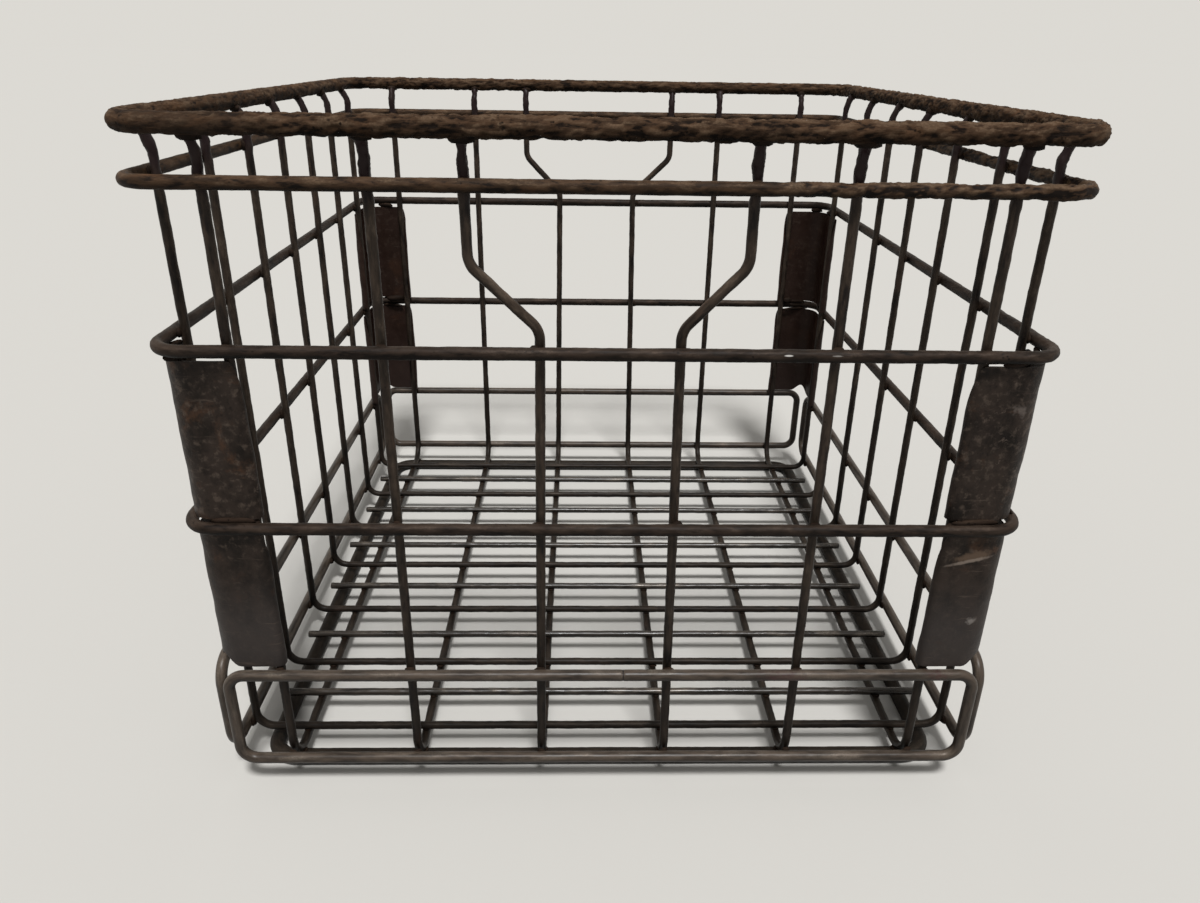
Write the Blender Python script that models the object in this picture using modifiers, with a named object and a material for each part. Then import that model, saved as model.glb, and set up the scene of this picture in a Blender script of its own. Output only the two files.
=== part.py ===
# Wire milk crate: U-shaped wall wires that cross under the floor, straight floor rods,
# three bands, a heavy rim, four skirt loops, a nesting ring and eight rolled corner plates.
# Metres, Z up. The front wall faces -Y, and the origin is on the ground under the middle.
# Heights and insets are measured to the middle of a wire unless a line says otherwise.
import math

import bmesh
import bpy
from mathutils import Matrix, Vector

# Diameters of the wires
RIM_WIRE = 0.0070
NEST_WIRE = 0.0070
BAND_WIRE = 0.0048
SKIRT_WIRE = 0.0048
LONG_WIRE = 0.0038
CROSS_WIRE = 0.0036
ROD_WIRE = 0.0036

# Gap kept between two pieces that are seated on each other
SEAT_GAP = 0.0003

# Plan of the bands, outside to outside, and how the rim and the nesting ring relate to it
BAND_WIDTH = 0.3300
BAND_DEPTH = 0.3412
BAND_BEND = 0.0120
RIM_OVERHANG = 0.0020
RIM_BEND = 0.0200
NEST_SIDE_INSET = 0.0121
NEST_END_INSET = 0.0131
NEST_BEND = 0.0120

# Heights, stacked up from the ground
SKIRT_LIFT = 0.0150
SKIRT_HEIGHT = 0.0444
LOWER_PANEL = 0.0698
UPPER_PANEL = 0.0710
HAND_HOLE_PANEL = 0.0572
RIM_RISE = 0.0181

# Skirt loops: how far their uprights stand in from the bands' outline, and their corner bends
END_LOOP_INSET = 0.0057
END_LOOP_BEND = 0.0070
SIDE_LOOP_INSET = 0.0062
SIDE_LOOP_BEND = 0.0100

# Long wires run from the front wall under the floor to the rear wall, in pairs about the middle
LONG_WIRE_PAIRS = 3
LONG_CORNER_INSET = 0.0268
LONG_BEND = 0.0140

# Cross wires run from the left wall over the long wires to the right wall
CROSS_WIRES = 7
CROSS_FRONT_INSET = 0.0234
CROSS_REAR_INSET = 0.0334
CROSS_BEND = 0.0095

# Floor rods lie midway between the cross wires and end just inside the walls
ROD_END_INSET = 0.0082

# Each wall wire leans out to the rim above the upper band
FLARE_ANGLE = math.radians(36)
FLARE_BEND = 0.0140

# The middle pair of long wires steps apart above the middle band and so frames a hand hole
HAND_HOLE_WIDTH = 0.0970
JOG_LEAN = 0.0020
JOG_RISE = 0.0073
JOG_ANGLE = math.radians(45)
JOG_BEND = 0.0080

# Corner plates: sheet bent round the corner, each upright edge rolled round a wall wire.
# The rolls' upper corners are cut off in a curve, and the foot rises round the corner bend.
PLATE_SHEET = 0.0008
PLATE_GAP_BELOW = 0.0010
UPPER_PLATE_GAP_ABOVE = 0.0018
LOWER_PLATE_GAP_ABOVE = 0.0005
ROLL_WRAP = math.radians(120)
ROLL_CUTBACK = 0.0220
FOOT_RELIEF = 0.0050

# Facets: widest turn of one chord in a bend, and the bevel resolutions of the wires
BEND_CHORD = math.radians(19)
ROLL_CHORD = math.radians(24)
HEAVY_RESOLUTION = 4
LIGHT_RESOLUTION = 2

# Sizes that follow from the ones above
band_side = (BAND_WIDTH - BAND_WIRE) / 2
band_end = (BAND_DEPTH - BAND_WIRE) / 2
long_wall = band_end - (BAND_WIRE + LONG_WIRE) / 2 - SEAT_GAP
cross_wall = band_side - (BAND_WIRE + CROSS_WIRE) / 2 - SEAT_GAP
rim_side = BAND_WIDTH / 2 + RIM_OVERHANG - RIM_WIRE / 2
rim_end = BAND_DEPTH / 2 + RIM_OVERHANG - RIM_WIRE / 2

skirt_top = SKIRT_LIFT + SKIRT_HEIGHT
lower_band = skirt_top + LOWER_PANEL
middle_band = lower_band + UPPER_PANEL
upper_band = middle_band + HAND_HOLE_PANEL
rim_height = upper_band + RIM_RISE

# The nesting ring stands on a flat of its wire. The floor bends of the long wires rest on it,
# and the cross wires and the rods lie on the long wires.
nest_side = band_side - NEST_SIDE_INSET
nest_end = band_end - NEST_END_INSET
nest_height = NEST_WIRE / 2 * math.cos(math.pi / (4 + 2 * LIGHT_RESOLUTION))
seat_distance = LONG_BEND + (LONG_WIRE + NEST_WIRE) / 2 + SEAT_GAP
seat_shift = max(0, nest_end - (long_wall - LONG_BEND))
long_floor = nest_height + math.sqrt(seat_distance ** 2 - seat_shift ** 2) - LONG_BEND
cross_floor = long_floor + (LONG_WIRE + CROSS_WIRE) / 2 + SEAT_GAP
rod_floor = long_floor + (LONG_WIRE + ROD_WIRE) / 2 + SEAT_GAP

long_reach = band_side - LONG_CORNER_INSET
long_pitch = 2 * long_reach / (2 * LONG_WIRE_PAIRS - 1)
cross_front = CROSS_FRONT_INSET - band_end
cross_rear = band_end - CROSS_REAR_INSET
cross_pitch = (cross_rear - cross_front) / (CROSS_WIRES - 1)

# A plate stands flush with the inner side of the bands, and bends round the same centre
plate_offset = (BAND_WIRE - PLATE_SHEET) / 2
plate_bend = BAND_BEND - plate_offset

# Colour, roughness and metallic value of each kind of steel on the crate
FINISHES = {
    "rim": ((0.085, 0.055, 0.038), 0.78, 0.35),
    "band": ((0.075, 0.052, 0.040), 0.66, 0.45),
    "wall_wire": ((0.065, 0.050, 0.042), 0.58, 0.55),
    "floor_wire": ((0.095, 0.085, 0.075), 0.50, 0.65),
    "plate": ((0.058, 0.045, 0.040), 0.62, 0.50),
}

for leftover in list(bpy.data.objects):
    bpy.data.objects.remove(leftover, do_unlink=True)

crate_parts = bpy.data.collections.new("wire_milk_crate")
bpy.context.scene.collection.children.link(crate_parts)

crate_origin = bpy.data.objects.new("crate_origin", None)
crate_parts.objects.link(crate_origin)


def steel(piece_name, finish):
    colour, roughness, metallic = FINISHES[finish]
    material = bpy.data.materials.new(piece_name + "_steel")
    material.use_nodes = True
    shader = material.node_tree.nodes["Principled BSDF"]
    shader.inputs["Base Color"].default_value = (*colour, 1.0)
    shader.inputs["Roughness"].default_value = roughness
    shader.inputs["Metallic"].default_value = metallic
    material.diffuse_color = (*colour, 1.0)
    return material


def add_piece(name, data, finish, location=(0, 0, 0), rotation=(0, 0, 0)):
    data.materials.append(steel(name, finish))
    piece = bpy.data.objects.new(name, data)
    piece.location = location
    piece.rotation_euler = rotation
    piece.parent = crate_origin
    crate_parts.objects.link(piece)
    return piece


# Each corner is a point and a bend radius. A bend becomes an arc of short chords.
def bent_path(corners, closed=False):
    path = []
    for index, (corner, radius) in enumerate(corners):
        if radius == 0:
            path.append(corner)
            continue
        back = (corners[index - 1][0] - corner).normalized()
        ahead = (corners[(index + 1) % len(corners)][0] - corner).normalized()
        half_angle = back.angle(ahead) / 2
        centre = corner + (back + ahead).normalized() * radius / math.sin(half_angle)
        first = corner + back * radius / math.tan(half_angle) - centre
        last = corner + ahead * radius / math.tan(half_angle) - centre
        chords = math.ceil((math.pi - 2 * half_angle) / BEND_CHORD)
        path += [centre + radius * first.slerp(last, step / chords) for step in range(chords + 1)]
    return path


# A wire is a curve with a round bevel. A tilt of half a facet turns a flat to the ground.
def wire_curve(name, path, diameter, resolution=LIGHT_RESOLUTION, closed=False):
    curve = bpy.data.curves.new(name, "CURVE")
    curve.dimensions = "3D"
    curve.bevel_depth = diameter / 2
    curve.bevel_resolution = resolution
    curve.use_fill_caps = True
    sides = 4 + 2 * resolution
    spline = curve.splines.new("POLY")
    spline.points.add(len(path) - 1)
    for spot, point in zip(spline.points, path):
        spot.co = (*point, 1)
        spot.tilt = math.pi / sides
    spline.use_cyclic_u = closed
    spline.use_smooth = True
    return curve


def ring_path(half_width, half_depth, bend):
    signs = [(-1, -1), (1, -1), (1, 1), (-1, 1)]
    corners = [(Vector((x * half_width, y * half_depth, 0)), bend) for x, y in signs]
    return bent_path(corners, closed=True)


def add_rings():
    rim = wire_curve("top_rim", ring_path(rim_side, rim_end, RIM_BEND), RIM_WIRE,
                     HEAVY_RESOLUTION, closed=True)
    add_piece("top_rim", rim, "rim", (0, 0, rim_height))
    for name, height in (("upper_band", upper_band), ("middle_band", middle_band),
                         ("lower_band", lower_band)):
        band = wire_curve(name, ring_path(band_side, band_end, BAND_BEND), BAND_WIRE, closed=True)
        add_piece(name, band, "band", (0, 0, height))
    nest_path = ring_path(nest_side, nest_end, NEST_BEND)
    nest = wire_curve("nesting_ring", nest_path, NEST_WIRE, closed=True)
    add_piece("nesting_ring", nest, "rim", (0, 0, nest_height))


# An upright closed loop round the foot of each wall, seated on that wall's wires
def add_skirt():
    middle = skirt_top - SKIRT_HEIGHT / 2
    end_plane = long_wall + (LONG_WIRE + SKIRT_WIRE) / 2 + SEAT_GAP
    side_plane = cross_wall + (CROSS_WIRE + SKIRT_WIRE) / 2 + SEAT_GAP
    end_path = ring_path(band_side - END_LOOP_INSET, SKIRT_HEIGHT / 2, END_LOOP_BEND)
    side_path = ring_path(band_end - SIDE_LOOP_INSET, SKIRT_HEIGHT / 2, SIDE_LOOP_BEND)
    upright = math.pi / 2
    for name, side in (("front_skirt_loop", -1), ("rear_skirt_loop", 1)):
        loop = wire_curve(name, end_path, SKIRT_WIRE, closed=True)
        add_piece(name, loop, "band", (0, side * end_plane, middle), (upright, 0, 0))
    for name, side in (("left_skirt_loop", -1), ("right_skirt_loop", 1)):
        loop = wire_curve(name, side_path, SKIRT_WIRE, closed=True)
        add_piece(name, loop, "band", (side * side_plane, 0, middle), (upright, 0, upright))


# One half of a U-wire, from its end at the rim down to the floor. The walls stand across Y.
# Steps are corners in the wall, each a sideways shift, a height and a bend radius.
def half_u_wire(wall, rim, floor, floor_bend, top_shift=0, steps=()):
    aim = Vector((top_shift, rim, rim_height))
    flare_foot = Vector((top_shift, wall, rim_height - (rim - wall) / math.tan(FLARE_ANGLE)))
    end = aim + (flare_foot - aim).normalized() * (RIM_WIRE / 2 + SEAT_GAP)
    half = [(end, 0), (flare_foot, FLARE_BEND)]
    half += [(Vector((shift, wall, height)), bend) for shift, height, bend in steps]
    half.append((Vector((0, wall, floor)), floor_bend))
    return half


def whole_u_wire(half):
    other_wall = Matrix.Scale(-1, 4, Vector((0, 1, 0)))
    return bent_path(half + [(other_wall @ point, bend) for point, bend in reversed(half)])


def add_long_wires():
    plain = half_u_wire(long_wall, rim_end, long_floor, LONG_BEND)
    inner_place = long_pitch / 2
    opening = HAND_HOLE_WIDTH / 2 - inner_place
    low_step = middle_band + JOG_RISE
    high_step = low_step + (opening + JOG_LEAN) / math.tan(JOG_ANGLE)
    for number in range(2 * LONG_WIRE_PAIRS):
        place = number * long_pitch - long_reach
        half = plain
        if abs(place) < long_pitch:
            side = math.copysign(1, place)
            steps = ((side * opening, high_step, JOG_BEND), (-side * JOG_LEAN, low_step, JOG_BEND))
            half = half_u_wire(long_wall, rim_end, long_floor, LONG_BEND, side * opening, steps)
        name = f"long_wire_{number + 1}"
        wire = wire_curve(name, whole_u_wire(half), LONG_WIRE)
        add_piece(name, wire, "wall_wire", (place, 0, 0))


def add_cross_wires():
    half = half_u_wire(cross_wall, rim_side, cross_floor, CROSS_BEND)
    for number in range(CROSS_WIRES):
        name = f"cross_wire_{number + 1}"
        wire = wire_curve(name, whole_u_wire(half), CROSS_WIRE)
        place = cross_front + number * cross_pitch
        add_piece(name, wire, "wall_wire", (0, place, 0), (0, 0, math.pi / 2))


def add_floor_rods():
    reach = Vector((band_side - ROD_END_INSET, 0, 0))
    for number in range(CROSS_WIRES - 1):
        name = f"floor_rod_{number + 1}"
        rod = wire_curve(name, [-reach, reach], ROD_WIRE)
        place = cross_front + (number + 0.5) * cross_pitch
        add_piece(name, rod, "floor_wire", (0, place, rod_floor))


# Points of a roll round a wire, from the end of its lip to where it meets the flat leg.
# The leg passes the wire on the side that 'leg_side' points to, and the roll is past the wire.
# Z is how far the sheet's upper edge lies below the plate's top.
def roll_arc(wire_centre, radius, leg_side, past):
    chords = math.ceil(ROLL_WRAP / ROLL_CHORD)
    arc = []
    for step in range(chords + 1):
        share = 1 - step / chords
        turn = ROLL_WRAP * share
        drop = Vector((0, 0, -ROLL_CUTBACK * share ** 2))
        arc.append(wire_centre + (leg_side * math.cos(turn) + past * math.sin(turn)) * radius + drop)
    return arc


# Plan of a plate in its middle sheet, with the corner of the bands' outline at zero.
# X runs along the front or rear wall towards the middle, and Y along the side wall.
def plate_plan(cross_inset):
    long_wire = Vector((LONG_CORNER_INSET, band_end - long_wall, 0))
    cross_wire = Vector((band_side - cross_wall, cross_inset, 0))
    along_x = Vector((1, 0, 0))
    along_y = Vector((0, 1, 0))
    end_roll = roll_arc(long_wire, long_wire.y - plate_offset, -along_y, along_x)
    side_roll = roll_arc(cross_wire, cross_wire.x - plate_offset, -along_x, along_y)
    bend = (Vector((plate_offset, plate_offset, 0)), plate_bend)
    corner = bent_path([(end_roll[-1], 0), bend, (side_roll[-1], 0)])
    return end_roll[:-1] + corner + side_roll[-2::-1]


# How much of the foot's relief a point of the plan gets: all of it in the middle of the bend
def relief_share(point):
    turn = math.atan2(max(0, BAND_BEND - point.y), max(0, BAND_BEND - point.x))
    return math.sin(2 * turn) ** 2


# The plan is drawn along the plate's upper edge and extruded down to its foot
def plate_mesh(name, cross_inset, bottom, top, relief):
    sheet = bmesh.new()
    plan = [sheet.verts.new(point + Vector((0, 0, top))) for point in plate_plan(cross_inset)]
    edges = [sheet.edges.new(pair) for pair in zip(plan, plan[1:])]
    for grown in bmesh.ops.extrude_edge_only(sheet, edges=edges)["geom"]:
        if isinstance(grown, bmesh.types.BMVert):
            grown.co.z = bottom + relief * relief_share(grown.co)
    bmesh.ops.recalc_face_normals(sheet, faces=sheet.faces)
    mesh = bpy.data.meshes.new(name)
    sheet.to_mesh(mesh)
    sheet.free()
    mesh.shade_smooth()
    return mesh


def add_corner_plates():
    skirt_clear = skirt_top + SKIRT_WIRE / 2 + PLATE_GAP_BELOW
    band_clear = lower_band + BAND_WIRE / 2 + PLATE_GAP_BELOW
    levels = (
        ("lower", skirt_clear, lower_band - BAND_WIRE / 2 - LOWER_PLATE_GAP_ABOVE, FOOT_RELIEF),
        ("upper", band_clear, middle_band - BAND_WIRE / 2 - UPPER_PLATE_GAP_ABOVE, 0),
    )
    walls = (("front", -1, CROSS_FRONT_INSET), ("rear", 1, CROSS_REAR_INSET))
    sides = (("left", -1), ("right", 1))
    for wall, y_sign, cross_inset in walls:
        for side, x_sign in sides:
            corner = Vector((x_sign * band_side, y_sign * band_end, 0))
            for level, bottom, top, relief in levels:
                name = f"corner_plate_{wall}_{side}_{level}"
                mesh = plate_mesh(name, cross_inset, bottom, top, relief)
                mesh.transform(Matrix.Diagonal((-x_sign, -y_sign, 1, 1)))
                plate = add_piece(name, mesh, "plate", corner)
                thickness = plate.modifiers.new("sheet", "SOLIDIFY")
                thickness.thickness = PLATE_SHEET
                thickness.offset = 0
                thickness.use_even_offset = True


add_rings()
add_skirt()
add_long_wires()
add_cross_wires()
add_floor_rods()
add_corner_plates()
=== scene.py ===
# A wire milk crate in old rusted steel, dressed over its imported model. Metres, front wall at -Y.
import math

import bmesh
import bpy
import numpy as np
from mathutils import Matrix, Vector


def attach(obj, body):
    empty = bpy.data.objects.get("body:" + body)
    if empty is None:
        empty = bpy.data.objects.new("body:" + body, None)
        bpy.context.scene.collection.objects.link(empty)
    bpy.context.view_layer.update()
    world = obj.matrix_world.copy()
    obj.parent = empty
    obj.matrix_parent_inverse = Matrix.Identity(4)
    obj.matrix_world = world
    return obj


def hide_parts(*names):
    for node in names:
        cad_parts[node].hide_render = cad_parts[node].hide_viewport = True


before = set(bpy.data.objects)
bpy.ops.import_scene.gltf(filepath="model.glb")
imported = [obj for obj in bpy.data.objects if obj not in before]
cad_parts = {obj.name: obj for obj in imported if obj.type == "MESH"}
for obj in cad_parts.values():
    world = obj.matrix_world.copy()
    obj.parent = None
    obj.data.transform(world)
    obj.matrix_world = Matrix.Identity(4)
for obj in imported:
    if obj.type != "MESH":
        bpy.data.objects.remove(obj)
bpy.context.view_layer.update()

bpy.ops.object.select_all(action="DESELECT")


# Small bench tools

def letGo():
    bpy.ops.object.select_all(action="DESELECT")


def takeAll():
    bpy.ops.mesh.select_all(action="SELECT")


# what is selected keeps its place, turn and size in its mesh
def settle():
    bpy.ops.object.transform_apply(location=True, rotation=True, scale=True)


def only(piece):
    letGo()
    piece.select_set(True)
    bpy.context.view_layer.objects.active = piece


def edit(piece):
    only(piece)
    bpy.ops.object.mode_set(mode="EDIT")
    bpy.ops.mesh.select_mode(type="VERT")


def done():
    bpy.ops.object.mode_set(mode="OBJECT")


# picks the points, edges or faces of the piece being edited that pass the test
def pick(piece, kind, test):
    bpy.ops.mesh.select_mode(type=kind)
    bpy.ops.mesh.select_all(action="DESELECT")
    shape = bmesh.from_edit_mesh(piece.data)
    for item in {"VERT": shape.verts, "EDGE": shape.edges, "FACE": shape.faces}[kind]:
        if test(item):
            item.select_set(True)
    shape.select_flush_mode()
    bmesh.update_edit_mesh(piece.data)


def applyAll(piece):
    only(piece)
    for modifier in list(piece.modifiers):
        bpy.ops.object.modifier_apply(modifier=modifier.name)


def copyOf(piece, name):
    only(piece)
    bpy.ops.object.duplicate(linked=False)
    twin = bpy.context.object
    twin.name = twin.data.name = name
    return twin


def putAt(piece, spot):
    only(piece)
    bpy.ops.transform.translate(value=spot)
    settle()


def throwAway(*pieces):
    for piece in pieces:
        bpy.data.objects.remove(piece, do_unlink=True)


def hang(piece, steel, slot, *nodes):
    only(piece)
    bpy.ops.object.shade_smooth_by_angle(angle=math.radians(70))
    normals = np.empty(len(piece.data.vertices) * 3)
    piece.data.vertex_normals.foreach_get("vector", normals)
    upside = piece.data.attributes.new("upside", "FLOAT", "POINT")    # 1 on top of a bar, -1 under it; the bar steels use it for painted shade under a bar and painted light on its top
    upside.data.foreach_set("value", normals[2::3])
    piece.data.materials.clear()
    piece.data.materials.append(steel)
    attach(piece, "root")
    if nodes:
        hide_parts(*nodes)


# Bars and wires: a straight bar is rusted first, then bent along a drawn path

def drawPath(corners):
    letGo()
    bpy.ops.mesh.primitive_plane_add(size=0.001)
    path = bpy.context.object
    edit(path)
    takeAll()
    bpy.ops.mesh.merge(type="CENTER")
    bpy.ops.transform.translate(value=corners[0][0])
    for (near, _), (far, _) in zip(corners, corners[1:]):
        bpy.ops.mesh.extrude_region_move(TRANSFORM_OT_translate={"value": far - near})
    for index, (corner, bend) in enumerate(corners):
        if bend:
            back = corners[index - 1][0] - corner
            ahead = corners[index + 1][0] - corner
            pick(path, "VERT", lambda vert: (vert.co - corner).length < 1e-5)
            bpy.ops.mesh.bevel(offset=bend / math.tan(back.angle(ahead) / 2), segments=14,
                               affect="VERTICES")
    done()
    bpy.ops.object.convert(target="CURVE")
    path = bpy.context.object
    path.data.use_stretch = True
    path.data.use_deform_bounds = True
    spline = path.data.splines[0]
    first, second, last = (spline.points[at].co.xyz for at in (0, 1, -1))
    backwards = (first - corners[0][0]).length > (last - corners[0][0]).length
    if (first - last).length < 1e-5:        # a closed path starts and ends at its seam
        backwards = (second - first).dot(corners[1][0] - corners[0][0]) < 0
    if backwards:
        bpy.ops.object.mode_set(mode="EDIT")
        bpy.ops.curve.select_all(action="SELECT")
        bpy.ops.curve.switch_direction()
        bpy.ops.object.mode_set(mode="OBJECT")
    return path


cutEnd = {"inset": 0.12, "rises": (0.07, 0.02)}     # in wire diameters


def cutBar(name, look, length, capped=True):
    letGo()
    bpy.ops.mesh.primitive_cylinder_add(
        vertices=look["sides"], radius=look["wire"] / 2, depth=length,
        end_fill_type="NGON" if capped else "NOTHING",
        location=(length / 2, 0, 0), rotation=(0, math.pi / 2, 0))
    bar = bpy.context.object
    bar.name = bar.data.name = name
    settle()
    edit(bar)
    if capped:                              # the shear leaves a small round at each cut end
        pick(bar, "FACE", lambda face: abs(face.normal.x) > 0.9)
        for rise in cutEnd["rises"]:
            bpy.ops.mesh.inset(thickness=look["wire"] * cutEnd["inset"], depth=look["wire"] * rise)
    steps = math.ceil(length / look["step"])
    coarse = math.ceil(math.sqrt(steps))
    for cuts in (coarse, math.ceil(steps / coarse)):
        pick(bar, "EDGE",
             lambda edge: abs(edge.verts[0].co.x - edge.verts[1].co.x) > look["step"] * 1.2)
        bpy.ops.mesh.subdivide(number_cuts=cuts - 1)
    done()
    return bar


def pointsOf(piece):
    points = np.empty(len(piece.data.vertices) * 3)
    piece.data.vertices.foreach_get("co", points)
    return points.reshape(-1, 3)


# where each kind of noise leaves a bar as thick as it was
restLevel = {"SOFT_NOISE": 0.5, "HARD_NOISE": 0.2}
# over what length the rust sets in, the height of a full crust, and how far grain and noise move on from
# one bar to the next and from one layer to the next
rustShape = {"endFade": 0.012, "spanFade": 0.014, "seamFade": 0.003, "crust": 0.0003,
             "grainStep": 1.7, "barStep": 0.61, "layerStep": (0.23, 0.05)}
# the first number of each kind of bar
barNumbers = {"rim": 0, "band": 1, "nest": 4, "loop": 5, "long": 10, "cross": 20, "rod": 30}


# how deep the rust bites along a bar: calm, apart from its ends and the spans, measured from its middle
def rustWeights(look, along, closed):
    half = along.max() / 2
    weights = np.full(len(along), look["calm"])
    if "ends" in look:
        inside = (abs(along - half) - half + look["ends"]) / rustShape["endFade"]
        weights = np.maximum(weights, np.clip(inside, 0, 1))
    for start, end, full in look.get("spans", ()):
        inside = np.minimum(along - half - start, end - along + half) / rustShape["spanFade"]
        weights = np.maximum(weights, full * np.clip(inside, 0, 1))
    if closed:
        weights *= np.clip((half - abs(along - half)) / rustShape["seamFade"], 0, 1)
    return weights


def eatRust(bar, look, number, closed=False):
    only(bar)
    points = pointsOf(bar)
    points[:, 0] += number * rustShape["grainStep"]
    lengthwise = bar.data.attributes.new("lengthwise", "FLOAT_VECTOR", "POINT")
    lengthwise.data.foreach_set("vector", points.ravel())
    points[:, 0] -= number * rustShape["grainStep"]
    group = bar.vertex_groups.new(name="rusty")
    for index, weight in enumerate(rustWeights(look, points[:, 0], closed)):
        group.add([index], float(weight), "REPLACE")
    bpy.ops.object.empty_add(location=(0, 0, 0))
    guide = bpy.context.object
    along, across = rustShape["layerStep"]
    for layer, (kind, size, depth, stretch, contrast) in enumerate(look["rust"]):
        guide.location = (number * rustShape["barStep"] + layer * along, layer * across, 0)
        guide.scale = (stretch, 1, 1)
        bpy.context.view_layer.update()
        cloud = bpy.data.textures.new("rustCloud", "CLOUDS")
        cloud.noise_type = kind
        cloud.noise_scale = size
        cloud.noise_depth = 3
        cloud.contrast = contrast
        bite = bar.modifiers.new("bite", "DISPLACE")
        bite.texture = cloud
        bite.texture_coords = "OBJECT"
        bite.texture_coords_object = guide
        bite.strength = depth
        bite.mid_level = restLevel[kind]
        bite.vertex_group = "rusty"
        only(bar)
        bpy.ops.object.modifier_apply(modifier="bite")
        bpy.data.textures.remove(cloud)
    throwAway(guide)
    points = pointsOf(bar)
    crust = (np.hypot(points[:, 1], points[:, 2]) - look["wire"] / 2) / rustShape["crust"]
    raised = bar.data.attributes.new("crust", "FLOAT", "POINT")
    raised.data.foreach_set("value", np.clip(crust, -1, 1))
    bar.vertex_groups.clear()


def bendBar(bar, path, closed=False):
    only(bar)
    bend = bar.modifiers.new("bend", "CURVE")
    bend.object = path
    applyAll(bar)
    edit(bar)
    if closed:
        takeAll()
        bpy.ops.mesh.remove_doubles(threshold=0.00005)
    takeAll()
    bpy.ops.mesh.normals_make_consistent(inside=False)
    done()


# Rings and loops

rimLook = {"wire": 0.0070, "sides": 32, "step": 0.00075, "bend": 0.0200, "calm": 0.45,
           "halfWidth": 0.1635, "halfDepth": 0.1691, "height": 0.2755,
           "spans": ((-0.140, 0.500, 1.0), (-0.640, -0.480, 0.9)),
           "rust": (("SOFT_NOISE", 0.0034, 0.0011, 2.2, 1.6), ("HARD_NOISE", 0.0017, -0.0009, 2.4, 1.5))}
bandLook = {"wire": 0.0048, "sides": 24, "step": 0.0008, "bend": 0.0120, "calm": 0.18,
            "halfWidth": 0.1626, "halfDepth": 0.1682,
            "rust": (("SOFT_NOISE", 0.0032, 0.0009, 2.6, 1.5), ("HARD_NOISE", 0.0016, -0.0007, 2.4, 1.5))}
bandHeights = {"upper": 0.2574, "middle": 0.2002, "lower": 0.1292}
bandSpans = {"upper": ((0.050, 0.330, 1.5),), "middle": ((0.110, 0.250, 0.4),), "lower": ()}
nestLook = {"wire": 0.0070, "sides": 24, "step": 0.0012, "bend": 0.0120, "calm": 0.30,
            "halfWidth": 0.1505, "halfDepth": 0.1551, "height": 0.0034,
            "rust": (("SOFT_NOISE", 0.0050, 0.0005, 2.4, 1.5), ("HARD_NOISE", 0.0030, -0.0005, 1.6, 1.4))}
skirtLook = {"wire": 0.0048, "sides": 24, "step": 0.0009, "calm": 0.16,
             "top": 0.0594, "foot": 0.0150, "seam": 0.0078,
             "groove": {"half": 0.0002, "above": 0.05, "depth": 0.00012},
             "rust": (("SOFT_NOISE", 0.0050, 0.0006, 3.0, 1.5), ("HARD_NOISE", 0.0026, -0.0005, 2.0, 1.4))}
endLoop = {"plane": 0.1682, "half": 0.1569, "bend": 0.0070}
sideLoop = {"plane": 0.1626, "half": 0.1620, "bend": 0.0100}


def ringCorners(look, height):
    x, y, bend = look["halfWidth"], look["halfDepth"], look["bend"]
    rounds = [(Vector((a * x, b * y, height)), bend) for a, b in ((-1, 1), (-1, -1), (1, -1), (1, 1))]
    seam = (Vector((0, y, height)), 0)
    return [seam, *rounds, seam]


def rollRing(name, look, height, steel, slot, node, number):
    path = drawPath(ringCorners(look, height))
    ring = cutBar(name, look, path.data.splines[0].calc_length(), capped=False)
    eatRust(ring, look, number, closed=True)
    bendBar(ring, path, closed=True)
    throwAway(path)
    edit(ring)                              # a ring that stands on the ground is worn flat there
    pick(ring, "VERT", lambda vert: vert.co.z < 0)
    bpy.ops.transform.resize(value=(1, 1, 0), center_override=(0, 0, 0))
    done()
    hang(ring, steel, slot, node)


# an upright loop drawn on the plane X-Z, then turned and moved to its wall
def loopBar(name, loop, number):
    half, bend, top, foot = loop["half"], loop["bend"], skirtLook["top"], skirtLook["foot"]
    seam = (Vector((skirtLook["seam"], 0, top)), 0)
    rounds = [(Vector((x, 0, z)), bend) for x, z in ((-half, top), (-half, foot), (half, foot), (half, top))]
    path = drawPath([seam, *rounds, seam])
    bar = cutBar(name, skirtLook, path.data.splines[0].calc_length(), capped=False)
    eatRust(bar, skirtLook, number, closed=True)
    bendBar(bar, path, closed=True)
    throwAway(path)
    groove = skirtLook["groove"]            # the butt weld is a fine groove round the bar
    edit(bar)
    pick(bar, "VERT", lambda vert: abs(vert.co.x - skirtLook["seam"]) < groove["half"]
         and vert.co.z > groove["above"])
    bpy.ops.transform.shrink_fatten(value=-groove["depth"])
    done()
    return bar


# Materials

# every group takes a place and gives plain values
def startGroup(name, inputs, outputs):
    group = bpy.data.node_groups.new(name, "ShaderNodeTree")
    for label, kind, value in (("Place", "Vector", (0, 0, 0)), *inputs):
        socket = group.interface.new_socket(label, in_out="INPUT", socket_type="NodeSocket" + kind)
        socket.default_value = value
    for label in outputs:
        group.interface.new_socket(label, in_out="OUTPUT", socket_type="NodeSocketFloat")
    return group, group.nodes.new("NodeGroupInput").outputs, group.nodes.new("NodeGroupOutput").inputs


def addNode(tree, kind, wires=(), **settings):
    node = tree.nodes.new("ShaderNode" + kind)
    for key, value in settings.items():
        setattr(node, key, value)
    for socket, source in dict(wires).items():
        if isinstance(source, bpy.types.NodeSocket):
            tree.links.new(source, node.inputs[socket])
        else:
            node.inputs[socket].default_value = source
    return node


def mixColour(tree, factor, under, over, blend="MIX"):
    mix = addNode(tree, "Mix", {0: factor, 6: under, 7: over}, data_type="RGBA", blend_type=blend)
    return mix.outputs[2]


def maths(tree, operation, *terms):
    return addNode(tree, "Math", dict(enumerate(terms)), operation=operation).outputs[0]


def vectors(tree, operation, *terms, result=0):
    return addNode(tree, "VectorMath", dict(enumerate(terms)), operation=operation).outputs[result]


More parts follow.
